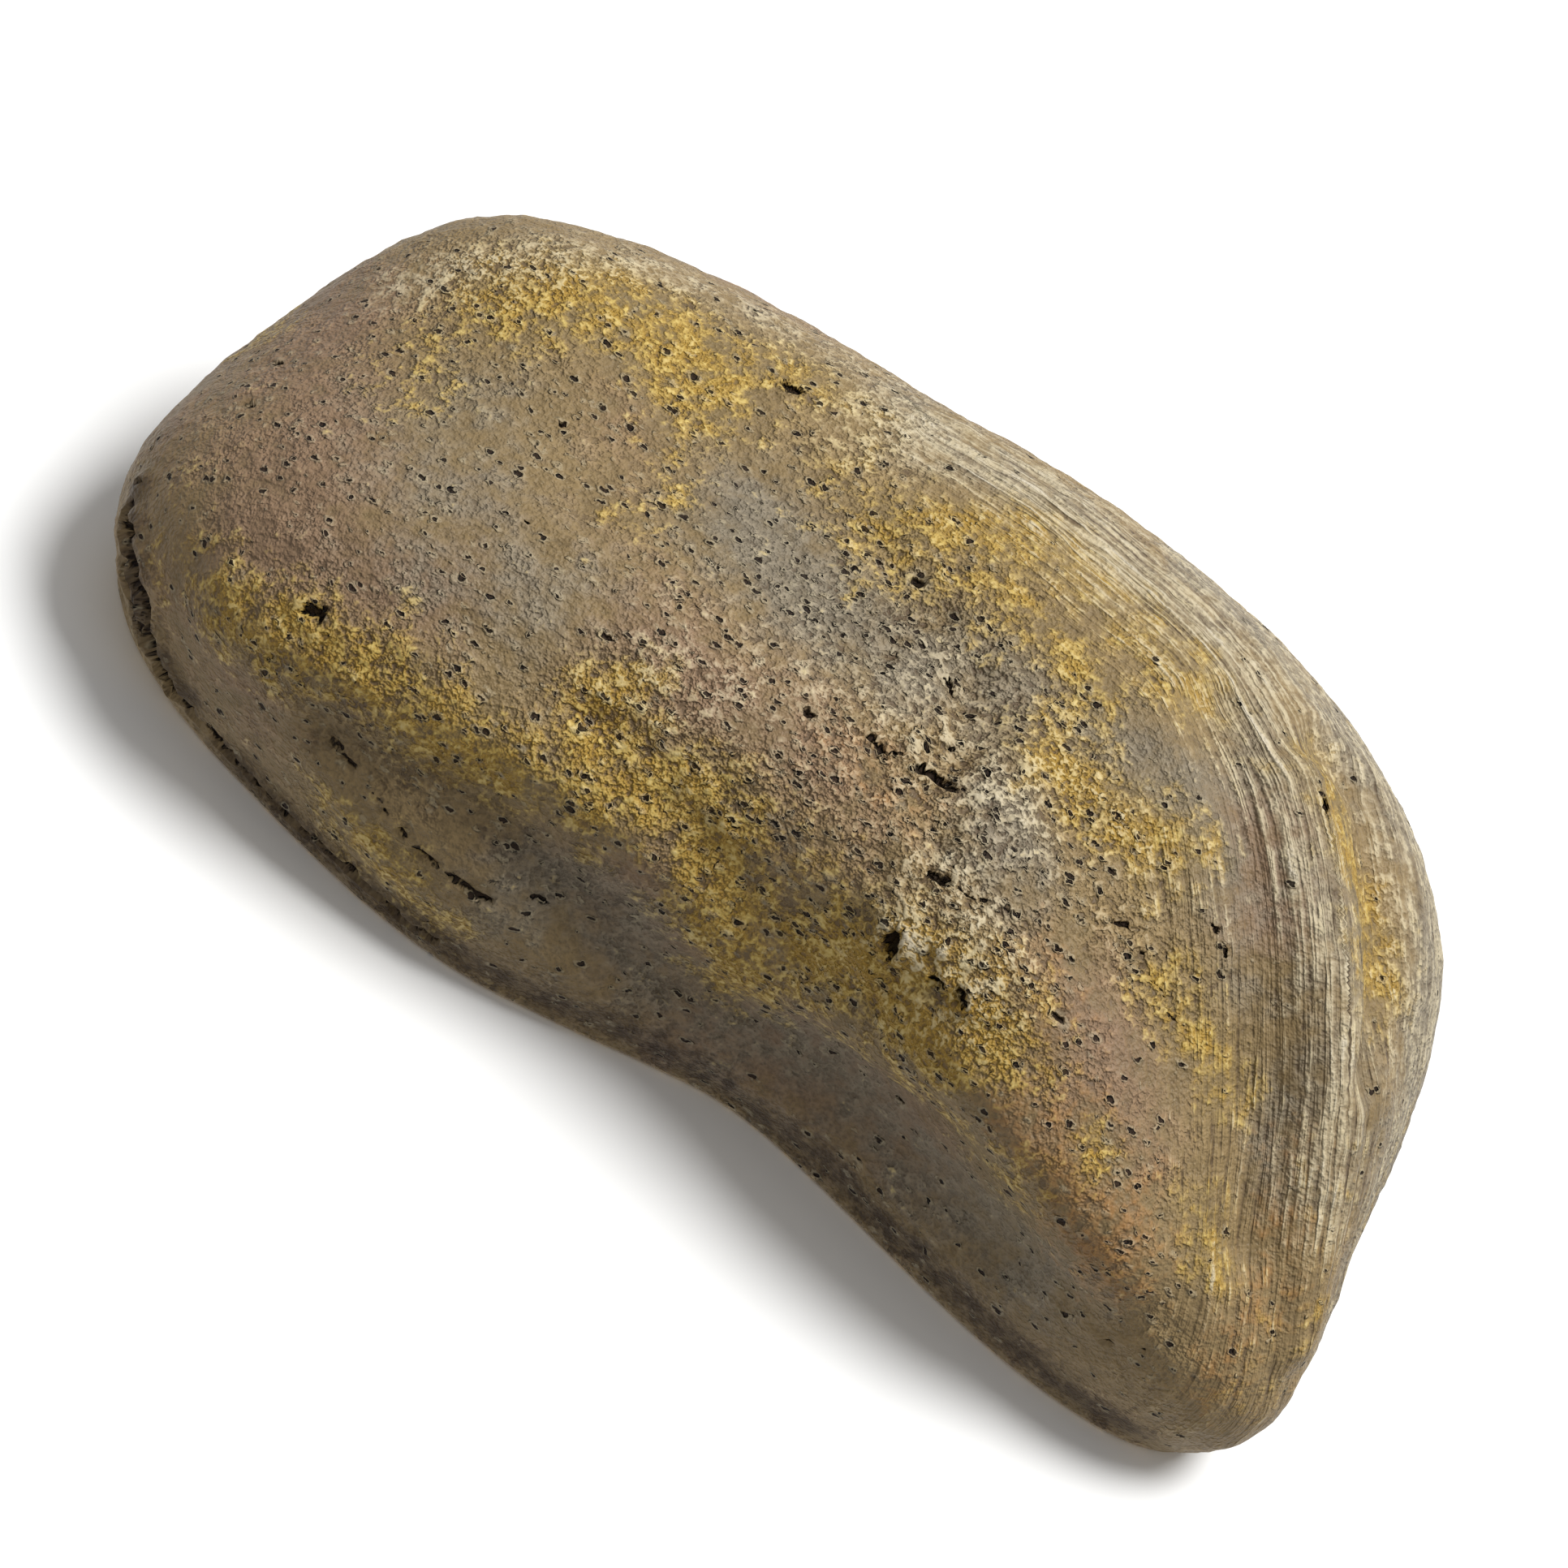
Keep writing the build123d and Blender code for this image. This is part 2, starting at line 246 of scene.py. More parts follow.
# A crack is (path, width, depth), in mm. It wanders round its path.
cracks = [
    ([(-55.3, -22.8, 12.6), (-53.8, -25, 10.2)], 0.8, 0.8),
    ([(-53.8, -25, 10.2), (-51.6, -26.9, 9.6), (-49.5, -28.2, 8.7), (-47.3, -28, 5.3),
      (-44.2, -28, 2.8)], 2.0, 1.7),
    ([(-53, -25.6, 8), (-50, -27.3, 6.3), (-48, -27.5, 3.4), (-45, -27.5, 1.4)], 1.0, 1.0),
    ([(-44, -28, 2.6), (-38, -29.3, 2.1), (-31.6, -30.6, 2.1), (-24, -32, 2.6),
      (-15.8, -31.8, 2.2)], 0.9, 0.8),
    ([(-31, -34, 13.4), (-27, -34, 12.9), (-24, -33.8, 11)], 0.6, 0.45),
    ([(-24, -33.8, 11), (-19.7, -33.5, 10), (-14, -33, 9.8)], 0.7, 0.5),
    ([(-17, -33.2, 11.4), (-13.5, -32.7, 11.6), (-9, -31, 12)], 0.5, 0.45),
    ([(-20, -33.2, 8.6), (-16, -32.8, 8.2), (-12, -32, 9)], 0.35, 0.3),
    ([(-18.7, -18.3, 33.8), (-15.5, -18.7, 34.1), (-12.2, -19.1, 34.4)], 0.22, 0.15),
    ([(27, -13.2, 38), (28.2, -13.6, 37.6), (30.3, -14.5, 36.8)], 0.35, 0.4),
    ([(30.3, -14.5, 36.8), (32.4, -15.6, 35.6)], 0.6, 0.6),
    ([(-0.5, -19.8, 35.4), (2.3, -19.8, 35.6), (5.1, -19.7, 35.9)], 0.4, 0.5),
    ([(5.1, -19.7, 35.9), (7.1, -19.3, 36.2), (8.2, -19.6, 36)], 0.9, 0.8),
    ([(8.2, -19.6, 36), (11, -18.6, 36.6)], 0.3, 0.3),
    ([(23.3, -18.7, 34.7), (25.3, -18.3, 34.6), (26.9, -18.6, 34.1)], 0.45, 0.5),
    ([(28, -19.2, 33.4), (31.5, -20.3, 31.8)], 0.3, 0.3),
    ([(10.4, -25.6, 32.8), (12, -25.4, 33)], 0.8, 0.8),
    ([(12, -25.4, 33), (15, -24.4, 33.5), (18.5, -23, 33.6)], 0.35, 0.4),
    ([(11.1, -28.6, 27.7), (11.6, -28.8, 27.2)], 1.3, 1.2),
    ([(15.4, -29, 27.8), (16, -29, 28)], 0.8, 0.9),
    ([(17.6, -29, 28.4), (18.4, -29.2, 28)], 0.9, 0.9),
    ([(1.1, -11.5, 37.7), (2.7, -11.9, 37.8), (3.8, -12.2, 37.8)], 0.5, 0.5),
    ([(-20.9, 3.9, 38.3), (-20, 4.2, 38.5)], 1.0, 0.7),
    ([(-30.1, -19.6, 31.3), (-28.8, -20.4, 31.3)], 0.45, 0.4),
    ([(30.3, -2.1, 42.7), (31.9, -3.1, 42.2), (33, -4.2, 41.4)], 0.45, 0.5),
    ([(35, -6.8, 40), (37.4, -8.6, 38.6)], 0.3, 0.3),
    ([(-38.3, -31.6, 21), (-37.1, -31.5, 21.7)], 0.9, 0.7),
    ([(-37.4, -31.9, 20.4), (-36.6, -31.8, 20.8)], 0.6, 0.5),
    ([(39.1, -30.8, 11.1), (42.4, -31.1, 11.4), (45.5, -31.2, 13.4)], 0.4, 0.4),
    ([(26.9, -27.3, 4.2), (28.6, -27.5, 4)], 0.6, 0.5),
    ([(-22, 31, 14), (-14, 32.6, 16), (-5, 33, 14)], 0.5, 0.5),
    ([(22, 28, 24), (30, 25, 25), (35, 22, 23)], 0.5, 0.5),
    ([(-46, 18, 14), (-50, 11, 18)], 0.6, 0.6),
    ([(6, 32.5, 8), (16, 32, 6), (27, 28, 7)], 0.6, 0.6),
    ([(55.5, -10, 10), (54, 0, 8)], 0.6, 0.5),
]

# Ridges and hollows finer than the cast form: (path, reach, height), in mm, added together.
swells = [
    ([(-43, -32, 15.3), (-36.3, -33, 19), (-29.8, -32.3, 21.7), (-23, -31.5, 22.5)], 5.5, 0.7),
    ([(-17, -31, 22.5), (-12.2, -30.2, 21.9), (-5.8, -29.4, 19.9), (0.7, -28.1, 17.6), (7.3, -26.8, 16.2),
      (15.3, -27.9, 18.8), (21.6, -30.2, 22.5), (29.6, -31.3, 21.9), (39.5, -31.3, 18.7)], 5.5, 1.4),
    ([(-31, -34, 14.5), (-18.7, -32.8, 16), (-12.3, -31.8, 15)], 4, -0.8),
    ([(-9, -31, 12.5), (-4.2, -29.8, 11.5), (4, -27.6, 9.5), (14, -26, 9.5), (23.8, -27.6, 10),
      (31.9, -29.6, 11.1)], 6, -1.2),
    ([(29, -2, 42.5), (36.6, -7.7, 39.6), (42.3, -12.5, 35.2), (47.3, -15.9, 29.6), (51.6, -19.3, 22.7),
      (55, -22.7, 17)], 4.0, 1.1),
    ([(20.4, -1.9, 43.5), (26.8, -7.5, 41.6), (33.1, -13, 37.7), (38, -17.3, 32.8), (42.9, -20.8, 27.3),
      (47.1, -24, 22.5)], 4.5, -1.2),
    ([(29, 4, 42.8), (34, 3.9, 41.2), (38.8, -1.2, 38.8), (42.7, -5.7, 36.1),
      (46.6, -11.8, 32.5)], 3.5, -1.2),
    ([(33, 8, 40), (41, 3, 38), (46, -1, 34.5)], 4.0, 0.4),
    ([(4, -10.5, 38.3), (6.4, -14, 37.6), (5.5, -20, 36)], 3.0, -0.7),
    ([(11, -14, 38), (12, -20, 36)], 3.5, 0.5),
    ([(-7.5, -5, 38.6), (-1, -8.6, 38.3), (4, -12, 38)], 3.0, -0.5),
    ([(10, -24, 34), (16, -25, 33), (20, -24, 33)], 3.0, -0.5),
    ([(-53, -25, 6.5), (-48, -27, 3)], 2.2, 0.5),
    ([(-30, -33.5, 10), (-22, -33, 7), (-14, -32, 8)], 2.5, 0.4),
    ([(-30, 26, 25), (-8, 31, 22), (14, 30, 20)], 5.0, -0.8),
    ([(-20, 30, 15), (0, 33, 12), (22, 31, 10)], 4.0, -0.5),
    ([(38, 22, 24), (46, 14, 20), (52, 5, 16)], 5.0, -0.7),
]

# The right ridge's crest, which the stone's lines follow, and the level way across it.
ridgeLine = [
    (-10, 9, 41), (4, 8, 43.3), (18, 6, 43.8), (24, 2.4, 43.9), (30.3, -2.1, 42.7), (36.6, -7.7, 39.6),
    (42.3, -12.5, 35.2), (47.3, -15.9, 29.6), (51.6, -19.3, 22.7), (55, -22.7, 17), (56.5, -24, 8),
]
acrossRidge = (0.55, 0.83, 0.0)

skinGrid = {
    "centre": (0.0, -1.0, 14.0),    # mm, the rays that find the skin meet here
    "halfSizes": (58.0, 34.0, 30.0),
    "facesLong": 228,               # along X over the top, a multiple of "thinning"
    "facesWide": 144,
    "facesDown": 72,
    "rimRows": 8,                   # across the flat rim under the rock
    "thinning": 4,                  # the hidden inner wall has this many times fewer faces
    "innerRows": 14,
    "lineSamples": 24,              # rays that measure each upright line of the skin
    "farOff": 200.0,                # mm, where inward rays start
    "baseProbe": 0.03,              # mm above the base, where its outlines are found
    "roundedRows": 4,               # on each side of the base's outer edge
    "edgeRounding": 3,              # smoothing passes over them
    "reliefFrom": 1.2,              # mm above the base, where the relief is whole
    "rimTop": 0.5,                  # mm, up to which the inside is painted as the rim is
}


def castOut(tree, origin, direction):
    # first wall met from inside, which is the skin's inner side
    return tree.ray_cast(Vector(origin), Vector(direction))[0]


def castIn(tree, origin, direction):
    # first wall met from outside, which is the painted side
    far = skinGrid["farOff"]
    start = Vector(origin) + Vector(direction) * far
    return tree.ray_cast(start, -Vector(direction))[0]


def polar(direction):
    return atan2(np.hypot(direction[0], direction[1]), direction[2])


def aim(fall, turn):
    return (sin(fall) * cos(turn), sin(fall) * sin(turn), cos(fall))


def sideFalls(cast, turn, topFall, endFall, rows):
    # angles down from the top that divide one upright line of the skin into even lengths
    falls = np.linspace(topFall, endFall, skinGrid["lineSamples"])
    points = np.array([cast(aim(fall, turn)) for fall in falls])
    lengths = np.concatenate([[0], np.cumsum(np.linalg.norm(np.diff(points, axis=0), axis=1))])
    return np.interp(np.linspace(0, lengths[-1], rows + 1)[1:], lengths, falls)


def skinSheet(cast, edge, long, wide, down):
    # open box of points on one side of the skin: a grid over the top and columns down to the base
    centre = np.array(skinGrid["centre"])
    sizes = skinGrid["halfSizes"]
    across, along = [
        [tan(v * pi / 4) for v in np.linspace(-1, 1, faces + 1)] for faces in (long, wide)
    ]
    top = np.zeros((long + 1, wide + 1, 3))
    aims = {}
    for i, a in enumerate(across):
        for j, b in enumerate(along):
            direction = Vector((a * sizes[0], b * sizes[1], sizes[2])).normalized()
            aims[i, j] = direction
            top[i, j] = cast(direction)
    loop = [(i, 0) for i in range(long)] + [(long, j) for j in range(wide)]
    loop += [(i, wide) for i in range(long, 0, -1)] + [(0, j) for j in range(wide, 0, -1)]
    rows = np.zeros((down, len(loop), 3))
    for k, place in enumerate(loop):
        direction = aims[place]
        turn = atan2(direction[1], direction[0])
        end = edge(turn)
        falls = sideFalls(cast, turn, polar(direction), polar(end - centre), down)
        for row, fall in enumerate(falls[:-1]):
            rows[row, k] = cast(aim(fall, turn))
        rows[-1, k] = end
    return top, loop, rows


def gridFaces(first, long, wide):
    # faces of a grid of points that are numbered from the first, seen from above
    n = wide + 1
    corners = [first + i * n + j for i in range(long) for j in range(wide)]
    return [(c, c + n, c + n + 1, c + 1) for c in corners]


def stripFaces(strips):
    # faces between closed lines of points, each line under the last
    count = len(strips[0])
    return [
        (two[k], two[(k + 1) % count], one[(k + 1) % count], one[k])
        for one, two in zip(strips, strips[1:]) for k in range(count)
    ]


def makeSkinMesh():
    # painted side, flat rim and inner wall as one closed mesh, in mm
    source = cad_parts["rock_shell"].data
    points = np.zeros(len(source.vertices) * 3)
    source.vertices.foreach_get("co", points)
    faces = [tuple(face.vertices) for face in source.polygons]
    tree = BVHTree.FromPolygons((points.reshape(-1, 3) / mm).tolist(), faces)
    centre = skinGrid["centre"]
    low = (centre[0], centre[1], skinGrid["baseProbe"])
    long, wide, down = skinGrid["facesLong"], skinGrid["facesWide"], skinGrid["facesDown"]
    thin = skinGrid["thinning"]

    def flat(point):
        return np.array((point[0], point[1], 0.0))

    top, loop, rows = skinSheet(
        lambda d: castIn(tree, centre, d),
        lambda turn: flat(castIn(tree, low, aim(pi / 2, turn))),
        long, wide, down,
    )
    innerTop, innerLoop, innerRows = skinSheet(
        lambda d: castOut(tree, centre, d),
        lambda turn: flat(castOut(tree, low, aim(pi / 2, turn))),
        long // thin, wide // thin, skinGrid["innerRows"],
    )
    # painted side
    count = len(loop)
    vertices = list(top.reshape(-1, 3)) + list(rows.reshape(-1, 3))
    quads = gridFaces(0, long, wide)
    base = (long + 1) * (wide + 1)
    strips = [[i * (wide + 1) + j for i, j in loop]]
    strips += [list(range(base + r * count, base + (r + 1) * count)) for r in range(down)]
    outerCount = len(vertices)
    # flat rim
    coarse = np.vstack([innerRows[-1], innerRows[-1][:1]])
    innerLine = np.array([
        coarse[k // thin] + (coarse[k // thin + 1] - coarse[k // thin]) * (k % thin) / thin
        for k in range(count)
    ])
    for row in range(1, skinGrid["rimRows"] + 1):
        share = row / skinGrid["rimRows"]
        strips.append(list(range(len(vertices), len(vertices) + count)))
        vertices += list(rows[-1] + (innerLine - rows[-1]) * share)
    quads += stripFaces(strips)
    # from the rim's inner edge up the hidden wall, with fewer faces
    fewer = len(innerLoop)
    rings = []
    for line in innerRows[:-1][::-1]:
        rings.append(list(range(len(vertices), len(vertices) + fewer)))
        vertices += list(line)
    for k in range(fewer):
        fine = [strips[-1][(k * thin + step) % count] for step in range(thin, -1, -1)]
        quads.append(tuple([rings[0][k], rings[0][(k + 1) % fewer]] + fine))
    first = len(vertices)
    vertices += list(innerTop.reshape(-1, 3))
    rings.append([first + i * (wide // thin + 1) + j for i, j in innerLoop])
    quads += stripFaces(rings)
    quads += [face[:1] + face[:0:-1] for face in gridFaces(first, long // thin, wide // thin)]
    # outer edge of the base
    places = np.array(vertices)
    near = skinGrid["roundedRows"]
    lines = np.array(strips[down - near:down + near])
    for _ in range(skinGrid["edgeRounding"]):
        places[lines[1:-1]] = (places[lines[:-2]] + 2 * places[lines[1:-1]] + places[lines[2:]]) / 4
    outside = np.zeros(len(places))
    outside[:outerCount] = 1.0
    return places, quads, outside


def pathDistance(points, path):
    nearest = np.full(len(points), np.inf)
    corners = np.array(path, float)
    for one, two in zip(corners, corners[1:]):
        run = two - one
        share = np.clip((points - one) @ run / (run @ run), 0, 1)
        nearest = np.minimum(nearest, np.linalg.norm(points - one - share[:, None] * run, axis=1))
    return nearest


def rounded(path, passes=3):
    # cuts the corners of a path
    corners = np.array(path, float)
    for _ in range(passes):
        near = 0.75 * corners[:-1] + 0.25 * corners[1:]
        far = 0.25 * corners[:-1] + 0.75 * corners[1:]
        corners = np.vstack([corners[:1], np.stack([near, far], 1).reshape(-1, 3), corners[-1:]])
    return corners


def ridgeFields(points):
    # how far each point is across and along the ridge line, in mm
    corners = rounded(ridgeLine)
    nearest = np.full(len(points), np.inf)
    along = np.zeros(len(points))
    side = np.zeros(len(points))
    length = 0.0
    for one, two in zip(corners, corners[1:]):
        run = two - one
        size = np.linalg.norm(run)
        share = np.clip((points - one) @ run / size ** 2, 0, 1)
        away = points - one - share[:, None] * run
        gap = np.linalg.norm(away, axis=1)
        closer = gap < nearest
        nearest = np.where(closer, gap, nearest)
        along = np.where(closer, length + share * size, along)
        side = np.where(closer, np.sign(away @ np.array(acrossRidge)), side)
        length += size
    return nearest * side, along


strokeSpread = 1.35     # reaches from a stroke's path to where it ends
strokeBody = 1.2        # over 1, so that the middle of a stroke is even


def strokeField(points, strokes):
    field = np.zeros(len(points))
    for path, reach, strength in strokes:
        fade = np.clip(strokeBody * (1 - pathDistance(points, path) / (strokeSpread * reach)), 0, 1)
        field = np.maximum(field, strength * fade)
    return field


def swellField(points):
    field = np.zeros(len(points))
    for path, reach, height in swells:
        share = np.clip(1 - (pathDistance(points, path) / reach) ** 2, 0, 1)
        field += height * share ** 2
    return field


crackForm = {
    "wander": 0.6, "wanderSize": 1.6,   # mm
    "seed": 7,                          # without one the noise takes its seed from the clock
    # in half widths of a crack from its middle
    "ends": 3.0,
    "wall": (1.25, 0.3),                # top and foot
    # The dark in a crack is painted shade inside it.
    "paint": (1.1, 0.45),               # where the dark starts and is full
    "lip": (2.9, 1.3),                  # the stone beside a crack is heaved up, from here to here
    "lipHeight": 0.35,                  # of the crack's depth
}


def crackFields(points):
    # how far each point is from a crack, in half widths, and how deep that crack is
    form = crackForm
    noise.seed_set(form["seed"])
    wander = np.array([noise.noise_vector(Vector(p) / form["wanderSize"]) for p in points]) * form["wander"]
    gap = np.full(len(points), form["ends"])
    depth = np.zeros(len(points))
    for path, width, cut in cracks:
        away = pathDistance(points + wander, path) / (width / 2)
        depth = np.where(away < gap, cut, depth)
        gap = np.minimum(gap, away)
    return gap, depth


# Holes are shared by the relief and the paint, so that they fall together.
craters = {"spacing": 2.9, "radius": 0.36, "fewest": -0.1, "most": 0.45}     # mm, and shares of places in use
pinholes = {"spacing": 0.85, "radius": 0.22, "fewest": 0.05, "most": 0.95}
holeForm = {
    "stretch": (0.6, 1.0, 1.15),
    "wander": 0.55, "wanderSize": 0.5,      # mm, which make the holes ragged
    "clusterSize": 4.0,                     # mm
    "clusterWeight": 2.4,                   # against the strokes of pitting
    "crowd": (0.95, 2.3),                   # sums of the two where holes are fewest and most
    "sizes": (0.5, 1.35),                   # smallest and largest, in radii
    "wall": (1.0, 0.5),                     # top and foot, in radii
    "lip": (1.9, 1.05),                     # outer and inner edge, in radii
    "lessOnLines": 0.6,                     # the lined ridge has few holes
}


def holePattern(tree, rest, pitting, sizes):
    # the bowl of a hole, 1 in its middle, and the lip round it
    form = holeForm
    drift = addNode(tree, "ShaderNodeTexNoise", {
        "Vector": rest, "Scale": 1 / (form["wanderSize"] * mm), "Detail": 1.0})
    centred = addNode(tree, "ShaderNodeVectorMath", [drift.outputs["Color"], (0.5, 0.5, 0.5)],
                      operation="SUBTRACT")
    moved = addNode(tree, "ShaderNodeVectorMath", {0: centred, "Scale": form["wander"] * mm},
                    operation="SCALE")
    place = addNode(tree, "ShaderNodeVectorMath", [rest, moved], operation="ADD")
    stretched = addNode(tree, "ShaderNodeVectorMath", [place, form["stretch"]], operation="MULTIPLY")
    cells = addNode(tree, "ShaderNodeTexVoronoi", {
        "Vector": stretched, "Scale": 1 / (sizes["spacing"] * mm)})
    chance = addNode(tree, "ShaderNodeSeparateXYZ", [cells.outputs["Color"]])
    cluster = addNode(tree, "ShaderNodeTexNoise", {
        "Vector": rest, "Scale": 1 / (form["clusterSize"] * mm), "Detail": 2.0, "Roughness": 0.6})
    crowd = weightedSum(tree, [(cluster, form["clusterWeight"])], pitting)
    density = addNode(tree, "ShaderNodeMapRange", {
        "Value": crowd, "From Min": form["crowd"][0], "From Max": form["crowd"][1],
        "To Min": sizes["fewest"], "To Max": sizes["most"]})
    present = addNode(tree, "ShaderNodeMath", [chance.outputs["X"], density], operation="LESS_THAN")
    size = addNode(tree, "ShaderNodeMapRange", {
        "Value": chance.outputs["Y"], "To Min": form["sizes"][0], "To Max": form["sizes"][1]})
    radius = addNode(tree, "ShaderNodeMath", [size, sizes["radius"] / sizes["spacing"]],
                     operation="MULTIPLY")
    near = addNode(tree, "ShaderNodeMath", [cells.outputs["Distance"], radius], operation="DIVIDE")
    bowl, disc = [
        addNode(tree, "ShaderNodeMapRange", {
            "Value": near, "From Min": form[part][0], "From Max": form[part][1]},
            interpolation_type="SMOOTHSTEP")
        for part in ("wall", "lip")
    ]
    lip = addNode(tree, "ShaderNodeMath", [disc, bowl], operation="SUBTRACT")
    return [addNode(tree, "ShaderNodeMath", [part, present], operation="MULTIPLY") for part in (bowl, lip)]


lineStretch = 0.05      # the stone's lines are about 20 times as long as wide


def ridgeCoordinates(tree, across, along):
    drawnOut = addNode(tree, "ShaderNodeMath", [along, lineStretch], operation="MULTIPLY")
    return addNode(tree, "ShaderNodeCombineXYZ", [across, drawnOut, 0.0])


def makeSkinObject():
    places, quads, outside = makeSkinMesh()
    mesh = bpy.data.meshes.new("rockSkin")
    mesh.from_pydata((places * mm).tolist(), [], quads)
    fields = {name: strokeField(places, strokes) for name, strokes in paintStrokes.items()}
    fields["pitting"] -= holeForm["lessOnLines"] * fields["striae"]
    fields["swell"] = swellField(places)
    fields["crackGap"], fields["crackDepth"] = crackFields(places)
    fields["ridgeAcross"], fields["ridgeAlong"] = ridgeFields(places)
    # relief fades towards the base's edge, and is none on the rim and inside
    fields["skin"] = outside * np.clip(places[:, 2] / skinGrid["reliefFrom"], 0, 1)
    fields["rim"] = (1 - outside) * (places[:, 2] < skinGrid["rimTop"])
    for name, values in fields.items():
        attribute = mesh.attributes.new(name, "FLOAT", "POINT")
        attribute.data.foreach_set("value", np.ascontiguousarray(values, dtype=np.float32))
    mesh.shade_smooth()
    skin = bpy.data.objects.new("rock_skin", mesh)
    bpy.context.scene.collection.objects.link(skin)
    return skin


reliefSizes = {             # mm, each with the size of what it makes
    "Swell": 0.5, "Swell Size": 11.0,
    "Dents": 0.6, "Dents Size": 3.4,
    "Grain": 0.22, "Grain Size": 1.3,
    "Crumple": 2.7, "Crumple Size": 2.8,
    "Striae": 1.3, "Striae Size": 1.5,
    "Crater Depth": 0.7,
    "Sink": 0.4,            # moves the whole skin in, so that nothing stands proud of the stone's size
}
fullRelief = 0.4            # mm, fine relief of this height counts as 1 in the paint


def makeReliefTree():
    tree = bpy.data.node_groups.new("stoneRelief", "GeometryNodeTree")
    sockets = tree.interface
    sockets.new_socket("Geometry", in_out="INPUT", socket_type="NodeSocketGeometry")
    for name in reliefSizes:
        sockets.new_socket(name, in_out="INPUT", socket_type="NodeSocketFloat")
    sockets.new_socket("Material", in_out="INPUT", socket_type="NodeSocketMaterial")
    sockets.new_socket("Geometry", in_out="OUTPUT", socket_type="NodeSocketGeometry")
    given = addNode(tree, "NodeGroupInput").outputs
    position = addNode(tree, "GeometryNodeInputPosition")
    normal = addNode(tree, "GeometryNodeInputNormal")
    metres = {
        name: addNode(tree, "ShaderNodeMath", [given[name], mm], operation="MULTIPLY")
        for name in reliefSizes
    }
    painted = {
        name: addNode(tree, "GeometryNodeInputNamedAttribute", {"Name": name}, data_type="FLOAT")
        for name in ("crumple", "striae", "pitting", "swell", "crackGap", "crackDepth",
                     "ridgeAcross", "ridgeAlong", "skin")
    }
    ridge = addNode(tree, "ShaderNodeVectorMath", {
        0: ridgeCoordinates(tree, painted["ridgeAcross"], painted["ridgeAlong"]), "Scale": mm},
        operation="SCALE")
    # detail and roughness of each texture, its coordinates, and where it shows
    textures = {
        "Swell": (2.0, 0.5, position, 1.0),
        "Dents": (3.0, 0.55, position, 1.0),
        "Grain": (3.0, 0.6, position, 1.0),
        "Crumple": (5.0, 0.65, position, painted["crumple"]),
        "Striae": (3.0, 0.6, ridge, painted["striae"]),
    }
    waves = {}
    for name, (detail, roughness, vector, share) in textures.items():
        scale = addNode(tree, "ShaderNodeMath", [1.0, metres[name + " Size"]], operation="DIVIDE")
        texture = addNode(tree, "ShaderNodeTexNoise", {
            "Vector": vector, "Scale": scale, "Detail": detail, "Roughness": roughness})
        level = addNode(tree, "ShaderNodeMath", [texture, 0.5], operation="SUBTRACT")
        wave = addNode(tree, "ShaderNodeMath", [level, metres[name]], operation="MULTIPLY")
        waves[name] = addNode(tree, "ShaderNodeMath", [wave, share], operation="MULTIPLY")
    swell = addNode(tree, "ShaderNodeMath", [painted["swell"], mm], operation="MULTIPLY")
    height = waves["Swell"]
    for layer in (waves["Dents"], waves["Grain"], waves["Crumple"], waves["Striae"], swell):
        height = addNode(tree, "ShaderNodeMath", [height, layer], operation="ADD")
    broad = addNode(tree, "ShaderNodeMath", [waves["Swell"], swell], operation="ADD")
    fine = addNode(tree, "ShaderNodeMath", [height, broad], operation="SUBTRACT")
    raised = addNode(tree, "ShaderNodeMath", [fine, fullRelief * mm], operation="DIVIDE")

    crater = holePattern(tree, position, painted["pitting"], craters)[0]
    bowl = addNode(tree, "ShaderNodeMath", [crater, metres["Crater Depth"]], operation="MULTIPLY")
    lipHeight = crackForm["lipHeight"]
    wall, lip = [
        addNode(tree, "ShaderNodeMapRange", {
            "Value": painted["crackGap"], "From Min": crackForm[part][0],
            "From Max": crackForm[part][1], "To Max": most}, interpolation_type="SMOOTHSTEP")
        for part, most in (("wall", 1 + lipHeight), ("lip", lipHeight))
    ]
    crack = addNode(tree, "ShaderNodeMath", [wall, lip], operation="SUBTRACT")
    cut = addNode(tree, "ShaderNodeMath", [crack, painted["crackDepth"]], operation="MULTIPLY")
    cutDepth = addNode(tree, "ShaderNodeMath", [cut, mm], operation="MULTIPLY")
    for loss in (bowl, cutDepth, metres["Sink"]):
        height = addNode(tree, "ShaderNodeMath", [height, loss], operation="SUBTRACT")
    height = addNode(tree, "ShaderNodeMath", [height, painted["skin"]], operation="MULTIPLY")
    offset = addNode(tree, "ShaderNodeVectorMath", {0: normal, "Scale": height}, operation="SCALE")

    kept = addNode(tree, "GeometryNodeStoreNamedAttribute", {
        "Geometry": given["Geometry"], "Name": "rest", "Value": position},
        data_type="FLOAT_VECTOR", domain="POINT")
    marked = addNode(tree, "GeometryNodeStoreNamedAttribute", {
        "Geometry": kept, "Name": "raised", "Value": raised}, data_type="FLOAT", domain="POINT")
    moved = addNode(tree, "GeometryNodeSetPosition", {"Geometry": marked, "Offset": offset})
    real = addNode(tree, "GeometryNodeRealizeInstances", {"Geometry": moved})
    finished = addNode(tree, "GeometryNodeSetMaterial", {"Geometry": real, "Material": given["Material"]})
    addNode(tree, "NodeGroupOutput", {"Geometry": finished})
    return tree
